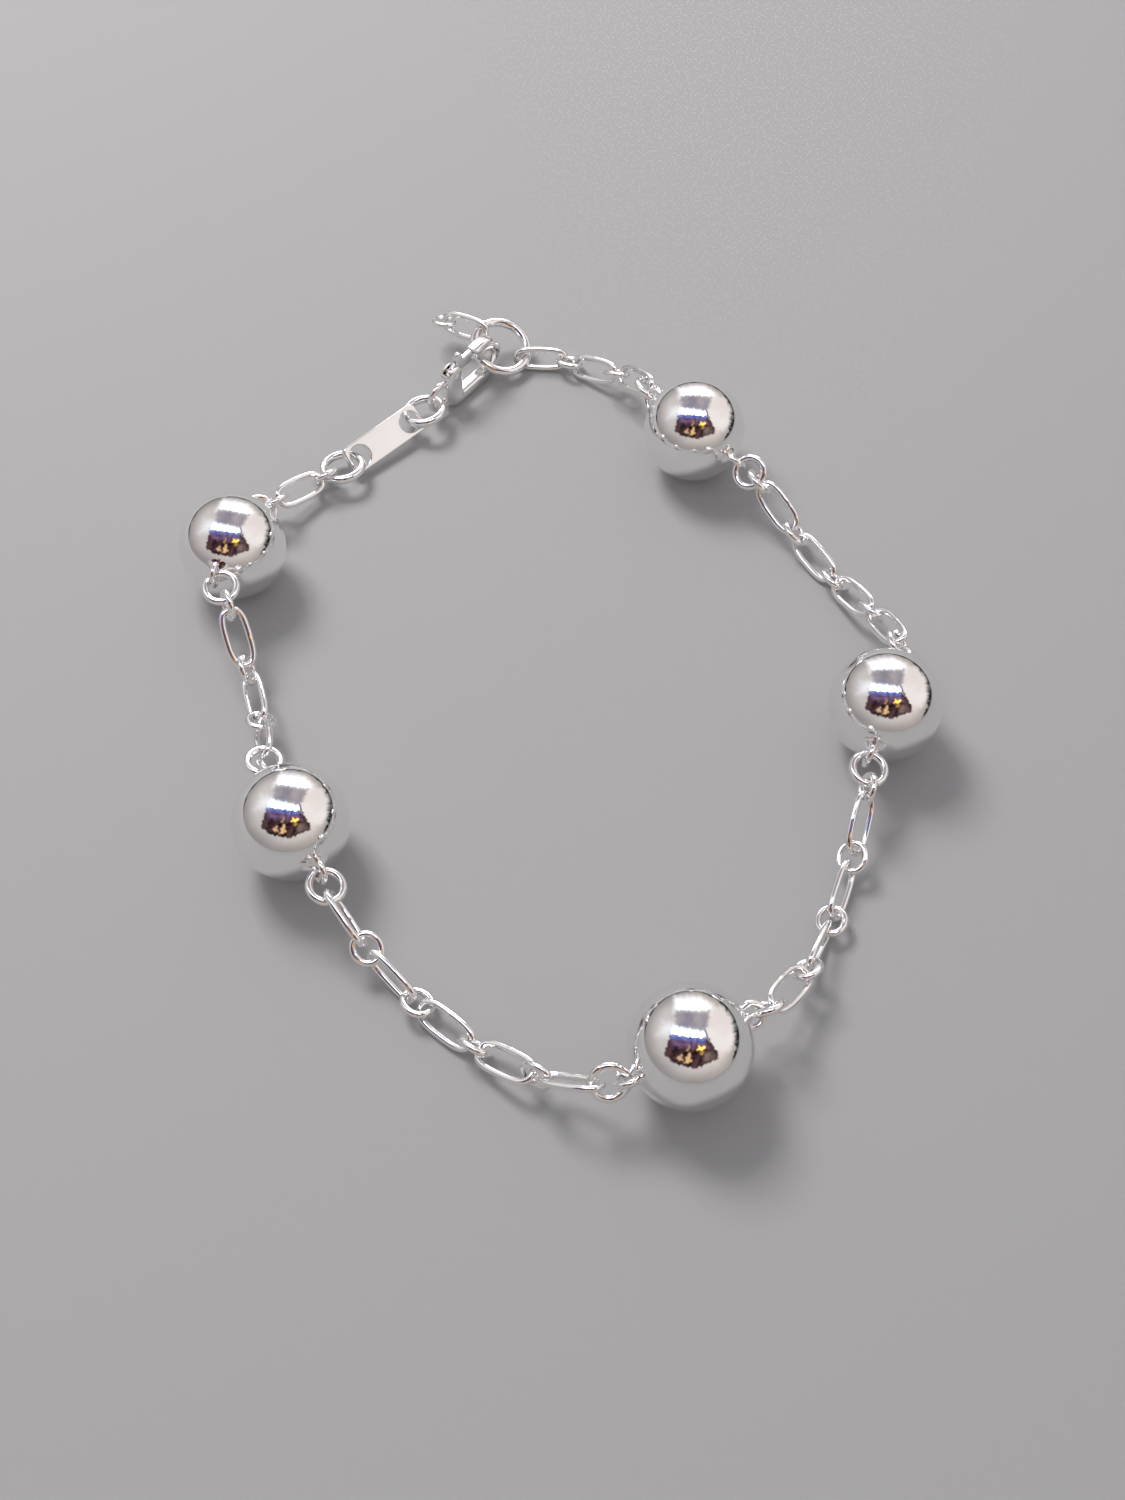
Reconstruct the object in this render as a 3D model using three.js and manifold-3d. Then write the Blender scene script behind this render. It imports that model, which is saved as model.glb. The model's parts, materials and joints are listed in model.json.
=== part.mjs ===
// Beaded chain bracelet, closed on its clasp and lying on a flat surface.
// Millimetres, +Z up. The surface is z = 0, and the origin is the middle of the bracelet's box there.
import * as THREE from 'three';
import { mergeVertices } from 'three/addons/utils/BufferGeometryUtils.js';
import Module from 'manifold-3d';

const wasm = await Module();
wasm.setup();

// ---------------------------------------------------------------- driving dimensions
const PLAY = 0.125; // free play where one wire hangs in another
const FLOOR_PLAY = 0.12; // how far a link sinks or rises in its neighbours to meet the surface
const CHAIN_LEVEL = 0.98; // height of the chain's middle line where it lies on the surface
const EYE_RUN = 10; // length over which the chain comes down from a ball's eye
const HOOK_RUN = 26; // length over which it rises to the clasp's hook
const HANDLE = 0.15; // how far a stretch keeps its end's bearing, as a part of its length
const MOST_SWING = 9; // widest that a stretch may swing to either side of its straight line
const SWING_STEP = 0.01;
const WIRE_SIDES = 6;
const END_STEPS = 6; // steps round each half-round end of a link

const BALL = { radius: 4, flat: 0.45, around: 20, rings: 10 };
const EYE = { radius: 0.77, wire: 0.45, centre: 4.44 }; // wire eye soldered on a ball
const LINKS = {
  bead_ring: { length: 2.8, width: 2.8, wire: 0.54 },
  long_link: { length: 4.61, width: 2.15, wire: 0.48 },
  short_link: { length: 2.46, width: 2.25, wire: 0.48 },
  jump_ring: { length: 3.8, width: 3.8, wire: 0.7 },
  end_ring: { length: 5.4, width: 5.4, wire: 0.8 },
};
const TAG = { length: 7.4, width: 2.4, thick: 0.6, corner: 0.5, hole: 0.86, between: 5.15, seats: 5.5 };
const CLASP = {
  thick: 1.2, bevel: 0.22, // body
  eyeX: 0.23, eyeRadius: 1.05, eyeWire: 0.54, // tail eye; the jump ring's wire sits at x = 0
  back: 0.85, front: 2.7, // ends of the block that carries the lever
  bend: 5.55, inner: 1, outer: 2.05, // the hook's middle, and its inner and outer radius
  mouth: 4.75, lip: 4.45, lipSide: 1.5, // where the hook's tip ends, and its outer lip
  seat: 5.7, // where the end ring's wire sits
};
const LEVER = {
  thick: 0.44, slot: 0.66, // its own thickness, and the slot it turns in
  x: 1.95, y: 1.15, root: 0.6, pin: 0.22, hole: 0.36, // its pivot
  gap: 0.13, // its gap to the hook's tip
};

// Each ball's place, and the bearing of its front eye; its back eye is opposite. Where joined is
// set, the rings in the ball's eyes are one solid with it.
const BEADS = [
  { name: 'bead_1', x: -23.5, y: 6.98, bearing: -98, rise: 0.38 },
  { name: 'bead_2', x: -17.0, y: -17.2, bearing: -60 },
  { name: 'bead_3', x: 9.0, y: -33.4, bearing: 28 },
  { name: 'bead_4', x: 23.7, y: -7.6, bearing: 70 },
  { name: 'bead_5', x: 11.5, y: 18.95, bearing: 133, joined: 0.3 },
];
// The end ring's place, the bearing of the clasp's pull on it, its lean, its lift off the surface
// by the link that goes round its low side, and the bearing at which that link leaves.
const END_RING = {
  x: -4.0, y: 30.7, bearing: 48, lean: -24, lift: 0.5, side: -22, hookTwist: -25, sideTwist: 24,
};

// The stretches of chain from eye to eye. In links, R is a bead ring, L a long link, S a short
// link, J a jump ring, T the tag and C the clasp; lean is each one's turn about the chain.
const STRETCHES = [
  {
    from: 'bead_1 front', to: 'bead_2 back', outward: -1,
    links: 'RSLSLSLR', lean: [-6, -80, 5, 65, -45, 15, -50, 8],
  },
  {
    from: 'bead_2 front', to: 'bead_3 back', outward: 1,
    links: 'RLSLSLSLSLR', lean: [13, 65, -14, -78, 16, -40, 58, -16, -78, 42, -52],
  },
  {
    from: 'bead_3 front', to: 'bead_4 back', outward: 1,
    links: 'RLSLSLSLSR', lean: [56, -20, 34, 98, 6, -60, 10, -48, 66, -8],
  },
  {
    from: 'bead_4 front', to: 'bead_5 back', outward: 1,
    links: 'RLSLSLSLSR', lean: [-50, 20, -50, 40, -40, 48, -35, 45, -45, 40],
  },
  {
    from: 'bead_5 front', to: 'end_ring side', outward: 1,
    links: 'RLSLSL', lean: [-35, 50, -30, 55, -25, 65],
  },
  {
    from: 'bead_1 back', to: 'end_ring hook', outward: 1,
    links: 'RSLSJTJC', lean: [-25, 50, -40, 58, 8, 136, 10, -88],
  },
];
const KINDS = {
  R: 'bead_ring', L: 'long_link', S: 'short_link', J: 'jump_ring', T: 'tag', C: 'clasp',
};
// The free end: a long link and a short one that hang from the end ring on to the surface.
const TAIL = [
  { kind: 'long_link', bearing: 150, rise: -0.12, twist: 30 },
  { kind: 'short_link', bearing: -95, rise: -0.3, twist: 0 },
];

// ---------------------------------------------------------------- small helpers
const UP = new THREE.Vector3(0, 0, 1);
const BALL_HEIGHT = Math.sqrt(BALL.radius ** 2 - BALL.flat ** 2);
const radians = THREE.MathUtils.degToRad;
const fade = (x) => 1 - THREE.MathUtils.smoothstep(x, 0, 1);

function heading(bearing, rise = 0) {
  return new THREE.Vector3(Math.cos(radians(bearing)), Math.sin(radians(bearing)), rise).normalize();
}

/** Pose of a piece: X along the chain, Z near the wire that it hangs on, and its Y side uppermost. */
function poseRound(at, along, through) {
  const normal = through.clone().addScaledVector(along, -through.dot(along)).normalize();
  const across = new THREE.Vector3().crossVectors(normal, along);
  if (across.z < 0) {
    normal.negate();
    across.negate();
  }
  return new THREE.Matrix4().makeBasis(along, across, normal).setPosition(at);
}

/** The direction of the wire that a piece hangs on, turned a little about the piece's own length. */
function twisted(through, along, degrees) {
  return through.clone().applyAxisAngle(along, radians(degrees));
}

/** Pose of a piece: X along the chain, and its flat side turned by lean about X. */
function pose(at, along, lean) {
  const left = new THREE.Vector3().crossVectors(UP, along).normalize();
  const level = new THREE.Vector3().crossVectors(along, left).multiplyScalar(Math.cos(radians(lean)));
  return poseRound(at, along, level.addScaledVector(left, Math.sin(radians(lean))));
}

/** A closed geometry as a solid that can be joined and cut. */
function solidOf(geometry) {
  const bare = geometry.clone();
  bare.deleteAttribute('normal');
  bare.deleteAttribute('uv');
  const merged = mergeVertices(bare, 1e-5);
  const corners = merged.index.array;
  const triangles = [];
  for (let i = 0; i < corners.length; i += 3) {
    const [a, b, c] = corners.slice(i, i + 3);
    if (a !== b && b !== c && c !== a) triangles.push(a, b, c);
  }
  return new wasm.Manifold(new wasm.Mesh({
    numProp: 3,
    vertProperties: new Float32Array(merged.attributes.position.array),
    triVerts: new Uint32Array(triangles),
  }));
}

function geometryOf(solid) {
  const mesh = solid.getMesh();
  const geometry = new THREE.BufferGeometry();
  geometry.setAttribute('position', new THREE.BufferAttribute(mesh.vertProperties, mesh.numProp));
  geometry.setIndex(new THREE.BufferAttribute(mesh.triVerts, 1));
  geometry.computeVertexNormals();
  return geometry;
}

/** A plate with an outline's shape, lying evenly on both sides of z = 0. */
function plateOf(outline, thick, segments, bevel = 0) {
  const points = outline.getPoints(segments);
  const shape = new THREE.Shape(points.filter((point, i) => point.distanceTo(points.at(i - 1)) > 1e-3));
  shape.holes = outline.holes;
  return new THREE.ExtrudeGeometry(shape, {
    depth: thick - 2 * bevel,
    bevelEnabled: bevel > 0,
    bevelThickness: bevel,
    bevelSize: bevel,
    bevelOffset: -bevel,
    bevelSegments: 1,
    curveSegments: segments,
  }).translate(0, 0, bevel - thick / 2);
}

// ---------------------------------------------------------------- shapes of the pieces
/** Round wire bent to a closed oval or ring, long side along X. */
function wireOval({ length, width, wire }) {
  const bend = (width - wire) / 2;
  const half = (length - width) / 2;
  const last = half > 0 ? END_STEPS : END_STEPS - 1;
  const stations = [];
  for (const [x, start] of [[half, -90], [-half, 90]]) {
    for (let step = 0; step <= last; step += 1) {
      stations.push({ x, turn: radians(start + 180 * step / END_STEPS) });
    }
  }
  const positions = [];
  const index = [];
  stations.forEach(({ x, turn }, i) => {
    const next = (i + 1) % stations.length;
    for (let side = 0; side < WIRE_SIDES; side += 1) {
      const angle = 2 * Math.PI * side / WIRE_SIDES;
      const out = bend + (wire / 2) * Math.cos(angle);
      positions.push(x + out * Math.cos(turn), out * Math.sin(turn), (wire / 2) * Math.sin(angle));
      const after = (side + 1) % WIRE_SIDES;
      const [a, b] = [i * WIRE_SIDES + side, next * WIRE_SIDES + side];
      const [c, d] = [next * WIRE_SIDES + after, i * WIRE_SIDES + after];
      index.push(a, b, c, a, c, d);
    }
  });
  const geometry = new THREE.BufferGeometry();
  geometry.setAttribute('position', new THREE.Float32BufferAttribute(positions, 3));
  geometry.setIndex(index);
  geometry.computeVertexNormals();
  return geometry;
}

/** A ball standing on a small flat, with its middle at the origin. */
function ball() {
  const tilt = Math.asin(BALL.flat / BALL.radius);
  const profile = [new THREE.Vector2(0, -BALL_HEIGHT)];
  for (let ring = 0; ring <= BALL.rings; ring += 1) {
    const angle = tilt + (Math.PI - 2 * tilt) * ring / BALL.rings;
    profile.push(new THREE.Vector2(BALL.radius * Math.sin(angle), -BALL.radius * Math.cos(angle)));
  }
  profile.push(new THREE.Vector2(0, BALL_HEIGHT));
  return new THREE.LatheGeometry(profile, BALL.around).rotateX(Math.PI / 2);
}

/** Flat plate with rounded corners and a hole near each end. */
function tag() {
  const [x, y, r] = [TAG.length / 2, TAG.width / 2, TAG.corner];
  const outline = new THREE.Shape();
  outline.absarc(x - r, y - r, r, 0, Math.PI / 2);
  outline.absarc(r - x, y - r, r, Math.PI / 2, Math.PI);
  outline.absarc(r - x, r - y, r, Math.PI, 1.5 * Math.PI);
  outline.absarc(x - r, r - y, r, 1.5 * Math.PI, 2 * Math.PI);
  for (const end of [1, -1]) {
    outline.holes.push(new THREE.Path().absarc(end * TAG.between / 2, 0, TAG.hole, 0, 2 * Math.PI, true));
  }
  return plateOf(outline, TAG.thick, 5);
}

/** The clasp's body: tail eye, forked block, back limb and hook, with the lever's pin. */
function claspBody() {
  const { back, front, bend, inner, outer, mouth, lip, lipSide, thick, bevel } = CLASP;
  const outline = new THREE.Shape();
  outline.moveTo(back, -0.8);
  outline.quadraticCurveTo(1.0, -1.9, 2.1, -2.0);
  outline.lineTo(bend, -outer);
  outline.absarc(bend, 0, outer, -Math.PI / 2, Math.PI / 2);
  outline.lineTo(lip, outer);
  outline.lineTo(lip, lipSide);
  outline.lineTo(mouth, lipSide);
  outline.lineTo(mouth, inner);
  outline.lineTo(bend, inner);
  outline.absarc(bend, 0, inner, Math.PI / 2, -Math.PI / 2, true);
  outline.lineTo(front, -inner);
  outline.lineTo(front, 1.3);
  outline.quadraticCurveTo(front, 2.0, 2.0, 2.0);
  outline.lineTo(1.7, 2.0);
  outline.quadraticCurveTo(back, 1.7, back, 0.8);
  const limb = plateOf(outline, thick, 6, bevel);
  const eye = new THREE.TorusGeometry(CLASP.eyeRadius, CLASP.eyeWire / 2, 8, 14).translate(CLASP.eyeX, 0, 0);
  const slotDepth = outer + 1;
  const slot = new THREE.BoxGeometry(front - back, slotDepth, LEVER.slot)
    .translate((front + back) / 2 + 0.3, 0.2 + slotDepth / 2, 0);
  const pin = new THREE.CylinderGeometry(LEVER.pin, LEVER.pin, thick - 0.3, 10)
    .rotateX(Math.PI / 2).translate(LEVER.x, LEVER.y, 0);
  return solidOf(limb).subtract(solidOf(slot)).add(solidOf(eye)).add(solidOf(pin));
}

/** The clasp's lever: a gate that closes the mouth under the hook's lip, with a thumb knob. */
function claspLever() {
  const { x, y, root, hole, gap, thick } = LEVER;
  const { front, inner, mouth, lip, lipSide } = CLASP;
  const top = 2.0;
  const outline = new THREE.Shape();
  outline.absarc(x, y, root, Math.PI / 2, 1.5 * Math.PI);
  outline.lineTo(front + 0.05, inner);
  outline.lineTo(mouth - gap, inner);
  outline.lineTo(mouth - gap, lipSide - gap);
  outline.lineTo(lip - gap, lipSide - gap);
  outline.lineTo(lip - gap, top);
  outline.lineTo(3.3, top);
  outline.quadraticCurveTo(3.2, 2.75, 2.85, 2.8);
  outline.quadraticCurveTo(2.45, 2.75, 2.4, top);
  outline.holes.push(new THREE.Path().absarc(x, y, hole, 0, 2 * Math.PI, true));
  return plateOf(outline, thick, 5);
}

// ---------------------------------------------------------------- the model
const bracelet = new THREE.Group();
const counts = {};

function addMesh(name, geometry, matrix) {
  const metal = new THREE.MeshStandardMaterial({ color: 0xd8d9dc, roughness: 0.12, metalness: 1 });
  const mesh = new THREE.Mesh(geometry, metal);
  mesh.name = name;
  matrix.decompose(mesh.position, mesh.quaternion, mesh.scale);
  bracelet.add(mesh);
}

/** The next name of a kind of link, such as long_link_07. */
function nextName(kind) {
  counts[kind] = (counts[kind] ?? 0) + 1;
  return `${kind}_${String(counts[kind]).padStart(2, '0')}`;
}

// Where a stretch of chain can start or end: a point, the direction that the chain leaves in, and
// the wire it hangs on, which is 0 where the next wire runs through the point itself.
const ports = {};

// Length between a piece's ends: between its wire's end bends, or between its two seats.
const spans = { tag: TAG.seats, clasp: CLASP.seat };
const spanOf = (kind) => spans[kind] ?? LINKS[kind].length - LINKS[kind].wire;
const wireOf = (kind) => (spans[kind] ? 0 : LINKS[kind].wire);

/** Distance between two wires that hang in each other; ones that don't cross squarely need more. */
function hold(wireA, wireB, turn = 90) {
  return wireA && wireB ? (wireA + wireB) / 2 + PLAY / Math.sin(radians(turn)) ** 2 : 0;
}

/** Where each joint of a chain falls on a route, and how far along the route the last one is. */
function walk(route, chords) {
  const joints = [route(0)];
  let reached = 0;
  for (const chord of chords) {
    let [low, high] = [reached, Math.min(1, reached + 0.5)];
    if (route(high).distanceTo(joints.at(-1)) < chord) {
      return { joints: [...joints, route(1)], reached: 1 };
    }
    for (let i = 0; i < 30; i += 1) {
      const middle = (low + high) / 2;
      if (route(middle).distanceTo(joints.at(-1)) < chord) low = middle;
      else high = middle;
    }
    reached = low;
    joints.push(route(reached));
  }
  return { joints, reached };
}

/** A route between two ports that swings out by swing, and lies on the surface in its middle. */
function routeBetween(from, to, swing) {
  const along = to.at.clone().sub(from.at).setZ(0);
  const reach = HANDLE * along.length();
  const out = new THREE.Vector3(along.y, -along.x, 0).normalize().multiplyScalar(swing);
  const curve = new THREE.CubicBezierCurve3(
    from.at.clone(),
    from.at.clone().addScaledVector(from.out, reach).add(out),
    to.at.clone().addScaledVector(to.out, reach).add(out),
    to.at.clone(),
  );
  return (t) => {
    const point = curve.getPoint(t);
    const fromStart = Math.hypot(point.x - from.at.x, point.y - from.at.y);
    const toEnd = Math.hypot(point.x - to.at.x, point.y - to.at.y);
    return point.setZ(CHAIN_LEVEL + (from.at.z - CHAIN_LEVEL) * fade(fromStart / from.run)
      + (to.at.z - CHAIN_LEVEL) * fade(toEnd / to.run));
  };
}

/** Lays one stretch: finds the swing at which its chain just fits, then places its pieces. */
function layStretch({ from, to, outward, links, lean }) {
  const [start, end] = [ports[from], ports[to]];
  const kinds = [...links].map((letter) => KINDS[letter]);
  const wires = [start.wire, ...kinds.map(wireOf), end.wire];
  const holds = wires.slice(1).map((wire, i) => {
    const square = i === 0 || i === kinds.length;
    return hold(wires[i], wire, square ? 90 : lean[i] - lean[i - 1]);
  });
  const chords = kinds.map((kind, i) => spanOf(kind) - (holds[i] + holds[i + 1]) / 2);
  let swing = MOST_SWING;
  let laid = walk(routeBetween(start, end, outward * swing), chords);
  while (laid.reached < 1 && swing > -MOST_SWING) {
    swing -= SWING_STEP;
    laid = walk(routeBetween(start, end, outward * swing), chords);
  }
  const { joints } = laid;
  const last = kinds.length - 1;
  kinds.forEach((kind, i) => {
    const along = joints[i + 1].clone().sub(joints[i]).normalize();
    const middle = joints[i].clone().add(joints[i + 1]).multiplyScalar(0.5)
      .addScaledVector(along, (holds[i + 1] - holds[i]) / 4);
    const bead = beads[(i === 0 ? from : to).split(' ')[0]];
    if (kind === 'bead_ring' && bead.joined) {
      middle.addScaledVector(along, i === 0 ? bead.joined : -bead.joined);
      bead.rings.push(wireOval(LINKS.bead_ring).applyMatrix4(pose(middle, along, lean[i])));
    } else if (i === last && end.through) {
      placePiece(kind, poseRound(middle, along, twisted(end.through, along, end.twist)));
    } else {
      placePiece(kind, pose(middle, along, lean[i]));
    }
  });
}

/** Adds a piece, which sinks or rises a little so that it lies on the surface. */
function placePiece(kind, matrix) {
  if (kind === 'clasp') {
    const seated = matrix.multiply(new THREE.Matrix4().makeTranslation(-CLASP.seat / 2, 0, 0));
    const body = geometryOf(claspBody());
    const rise = riseOf(body, seated);
    addMesh('clasp_body', body, rise);
    addMesh('clasp_lever', claspLever(), rise);
  } else if (kind === 'tag') {
    const plate = tag();
    addMesh('tag', plate, riseOf(plate, matrix));
  } else {
    const wire = wireOval(LINKS[kind]);
    addMesh(nextName(kind), wire, riseOf(wire, matrix));
  }
}

/** The matrix moved up or down to the surface, by no more than the play when it moves down. */
function riseOf(geometry, matrix) {
  const low = geometry.clone().applyMatrix4(matrix);
  low.computeBoundingBox();
  const { z } = low.boundingBox.min;
  const drop = z > 2 * FLOOR_PLAY ? 0 : Math.min(z, FLOOR_PLAY);
  return new THREE.Matrix4().makeTranslation(0, 0, -drop).multiply(matrix);
}

// Each ball's two eyes stand across their rings.
const ringLean = {};
for (const { from, to, lean } of STRETCHES) {
  ringLean[from] = lean[0];
  ringLean[to] = -lean.at(-1);
}
const beads = {};
for (const { name, x, y, bearing, rise = 0, joined } of BEADS) {
  const middle = new THREE.Vector3(x, y, BALL_HEIGHT);
  beads[name] = { middle, joined, eyes: [], rings: [] };
  for (const [end, turn] of [['front', 0], ['back', 180]]) {
    const out = heading(bearing + turn, turn ? -rise : rise);
    const at = middle.clone().addScaledVector(out, EYE.centre);
    beads[name].eyes.push(new THREE.TorusGeometry(EYE.radius, EYE.wire / 2, 6, 12)
      .applyMatrix4(pose(at, out, ringLean[`${name} ${end}`] + 90)));
    ports[`${name} ${end}`] = { at, out, wire: 0, run: EYE_RUN };
  }
}

// The end ring leans on the surface, and its hooked side faces back along its bearing.
const { wire: endWire, width: endWidth } = LINKS.end_ring;
const endRadius = (endWidth - endWire) / 2;
const endTorus = new THREE.TorusGeometry(endRadius, endWire / 2, 8, 20);
const endPose = riseOf(
  endTorus,
  pose(new THREE.Vector3(END_RING.x, END_RING.y, 0), heading(END_RING.bearing), END_RING.lean),
).premultiply(new THREE.Matrix4().makeTranslation(0, 0, END_RING.lift));
addMesh('end_ring', endTorus, endPose);

/** The port on the end ring's wire for a piece that leaves it in the given direction. */
function ringPort(out, wire) {
  const [x, y, z] = [new THREE.Vector3(), new THREE.Vector3(), new THREE.Vector3()];
  endPose.extractBasis(x, y, z);
  const angle = Math.atan2(out.dot(y), out.dot(x));
  const at = new THREE.Vector3(endRadius * Math.cos(angle), endRadius * Math.sin(angle), 0)
    .applyMatrix4(endPose)
    .addScaledVector(out, -hold(endWire, wire) / 2);
  const through = y.multiplyScalar(Math.cos(angle)).addScaledVector(x, -Math.sin(angle));
  return { at, out, through, wire: wire && endWire, run: EYE_RUN };
}
const linkWire = LINKS.long_link.wire;
ports['end_ring side'] = { ...ringPort(heading(END_RING.side), linkWire), twist: END_RING.sideTwist };
ports['end_ring hook'] = {
  ...ringPort(heading(END_RING.bearing + 180), 0), run: HOOK_RUN, twist: END_RING.hookTwist,
};
STRETCHES.forEach(layStretch);

// The free end hangs from the raised side of the end ring.
let { at: joint, through } = ringPort(heading(TAIL[0].bearing, TAIL[0].rise), 0);
let held = hold(endWire, linkWire);
for (const { kind, bearing, rise, twist } of TAIL) {
  const along = heading(bearing, rise);
  if (kind === 'short_link') along.projectOnPlane(through).normalize();
  const middle = joint.clone().addScaledVector(along, spanOf(kind) / 2 - held);
  const matrix = poseRound(middle, along, twisted(through, along, twist));
  placePiece(kind, matrix);
  joint = middle.clone().addScaledVector(along, spanOf(kind) / 2);
  through = new THREE.Vector3().setFromMatrixColumn(matrix, 1);
  held = hold(linkWire, linkWire);
}

for (const [name, { middle, eyes, rings }] of Object.entries(beads)) {
  const wires = [...eyes, ...rings].map((wire) => solidOf(wire.translate(-middle.x, -middle.y, -middle.z)));
  const solid = wasm.Manifold.union([solidOf(ball()), ...wires]);
  addMesh(name, geometryOf(solid), new THREE.Matrix4().setPosition(middle));
}

// The origin goes to the middle of the bracelet's box, on the surface.
bracelet.updateMatrixWorld(true);
const box = new THREE.Box3().setFromObject(bracelet, true);
bracelet.position.set(-(box.min.x + box.max.x) / 2, -(box.min.y + box.max.y) / 2, -box.min.z);

export default bracelet;
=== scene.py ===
"""Looks of the beaded chain bracelet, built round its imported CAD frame. Metres, +Z up."""

import json
import math

import bmesh
import bpy
import numpy as np
from mathutils import Matrix, Vector


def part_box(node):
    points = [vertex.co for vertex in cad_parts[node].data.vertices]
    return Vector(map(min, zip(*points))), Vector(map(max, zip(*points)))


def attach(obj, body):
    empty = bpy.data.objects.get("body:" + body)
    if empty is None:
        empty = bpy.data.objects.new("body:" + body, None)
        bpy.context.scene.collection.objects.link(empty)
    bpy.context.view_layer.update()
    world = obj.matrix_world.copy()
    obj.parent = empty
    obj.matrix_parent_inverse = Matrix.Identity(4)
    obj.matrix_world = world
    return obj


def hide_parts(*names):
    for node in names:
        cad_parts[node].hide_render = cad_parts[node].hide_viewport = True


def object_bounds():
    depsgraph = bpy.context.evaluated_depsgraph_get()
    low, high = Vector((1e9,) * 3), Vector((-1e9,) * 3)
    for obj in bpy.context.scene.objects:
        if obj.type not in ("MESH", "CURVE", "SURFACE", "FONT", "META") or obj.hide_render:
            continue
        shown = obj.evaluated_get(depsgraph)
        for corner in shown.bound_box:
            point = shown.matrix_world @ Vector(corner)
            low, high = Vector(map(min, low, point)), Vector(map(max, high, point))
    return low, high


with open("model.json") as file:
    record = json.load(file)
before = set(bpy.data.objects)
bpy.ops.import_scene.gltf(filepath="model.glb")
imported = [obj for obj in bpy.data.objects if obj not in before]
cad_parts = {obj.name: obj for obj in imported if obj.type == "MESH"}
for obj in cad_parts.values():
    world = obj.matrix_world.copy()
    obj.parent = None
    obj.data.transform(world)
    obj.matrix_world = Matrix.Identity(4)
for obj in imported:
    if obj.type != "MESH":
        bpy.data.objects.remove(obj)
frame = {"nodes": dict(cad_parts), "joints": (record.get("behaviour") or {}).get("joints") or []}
cad_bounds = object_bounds()

MM = 0.001
BODY = "bracelet"  # everything but the lever

# ---------------------------------------------------------------- sizes, in mm, as in the CAD
WIRES = {  # length and width over the wire, the wire, how square its corners are, and its joint
    "bead_ring": {"length": 2.8, "width": 2.8, "wire": 0.54, "square": 2.0, "seam": "solder"},
    "long_link": {"length": 4.61, "width": 2.15, "wire": 0.48, "square": 2.95, "seam": "solder"},
    "short_link": {"length": 2.46, "width": 2.25, "wire": 0.48, "square": 2.1, "seam": "solder"},
    "jump_ring": {"length": 3.8, "width": 3.8, "wire": 0.7, "square": 2.0, "seam": "cut"},
    "end_ring": {"length": 5.4, "width": 5.4, "wire": 0.8, "square": 2.0, "seam": "solder"},
}
SEAMS = {  # how much the wire swells at its joint, and over what length
    "solder": {"swell": 0.08, "reach": 0.22},
    "cut": {"swell": -0.22, "reach": 0.035},
}
PATH_STEPS = 720  # short steps in which a wire's path is measured
SEAM_SECTIONS = 5  # a wire's sections to each side of its joint
PLAIN_SECTIONS = 60  # its sections on the rest of its path
EYE = {"radius": 0.77, "wire": 0.45, "centre": 4.44}  # a ball's wire eye, and how far out its middle is
COLLAR = {  # solder at an eye's foot: its radii, its rise, and how deep it goes into the ball
    "outer": 1.05, "inner": 0.3, "rise": 0.26, "sunk": 0.01, "root": 1.0,
}
BALL_AXES = {  # bearing in degrees and rise of each ball's front eye; its back eye is opposite
    "bead_1": (-98, 0.38),
    "bead_2": (-60, 0),
    "bead_3": (28, 0),
    "bead_4": (70, 0),
    "bead_5": (133, 0),
}
BEAD_REACH = 5.65  # farther than this from a ball's middle there is only a joined ring
TAG = {  # hole is a hole's radius, between is from hole to hole, and round is its edges' radius
    "length": 7.4, "width": 2.4, "thick": 0.6, "corner": 0.5, "hole": 0.86, "between": 5.15,
    "round": 0.12,
}
CLASP = {  # x is along it from its tail eye, y across it; inner and outer are the hook's radii
    "eye_x": 0.23, "eye_radius": 1.05, "eye_wire": 0.54,
    "back": 0.85, "front": 2.7,
    "bend": 5.55, "inner": 1.0, "outer": 2.05,
    "mouth": 4.75, "lip": 4.45, "lip_side": 1.5, "shoulder": 2.0,
    "thick": 1.2, "round": 0.35,
    "slot_from": (1.15, 0.2), "slot_to": (4.0, 3.4),
}
LEVER = {  # x and y are its pin's place; its underside is straight from heel past the block's front
    "thick": 0.44, "slot": 0.66, "x": 1.95, "y": 1.15, "root": 0.6, "heel": 0.05, "gap": 0.13,
    "round": 0.12,
}
KNOB = {  # the lever's thumb knob: where it begins and ends, its top, and the pulls of its sides
    "from": 2.4, "to": 3.3, "crown": (2.85, 2.8), "from_pull": (2.45, 2.75), "to_pull": (3.2, 2.75),
}
RIVET = ((0.28, 0.52), (0.28, 0.61), (0.24, 0.64), (0.15, 0.665), (0, 0.67))  # radii and heights of an end
CAST = {  # how the sharp modelled metal is rounded as if cast: grain of its surface, and passes
    "body": {"grain": 0.05, "passes": 14},
    "lever": {"grain": 0.035, "passes": 3},
}
SAME_PLACE = 0.004  # corners of an outline that are closer than this are one


# ---------------------------------------------------------------- reading the frame
def cad_points(node):
    """A CAD node's corners, each once."""
    corners = [vertex.co for vertex in frame["nodes"][node].data.vertices]
    return np.unique(np.round(np.array(corners), 7), axis=0)


def pose_matrix(origin, x_axis, y_axis, z_axis):
    """The pose with this origin and these axes."""
    columns = Matrix([x_axis, y_axis, z_axis]).transposed().to_4x4()
    return Matrix.Translation(origin) @ columns


def principal_pose(points):
    """Pose of a cloud of points: X along its longest way and Z along its shortest."""
    middle = points.mean(axis=0)
    _, _, ways = np.linalg.svd(points - middle, full_matrices=False)
    reach = np.ptp((points - middle) @ ways.T, axis=0)
    x_axis = Vector(ways[0 if reach[0] > reach[1] else 1])
    z_axis = Vector(ways[2])
    if z_axis.z < 0:
        z_axis.negate()
    return pose_matrix(Vector(middle), x_axis, z_axis.cross(x_axis), z_axis)


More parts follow.
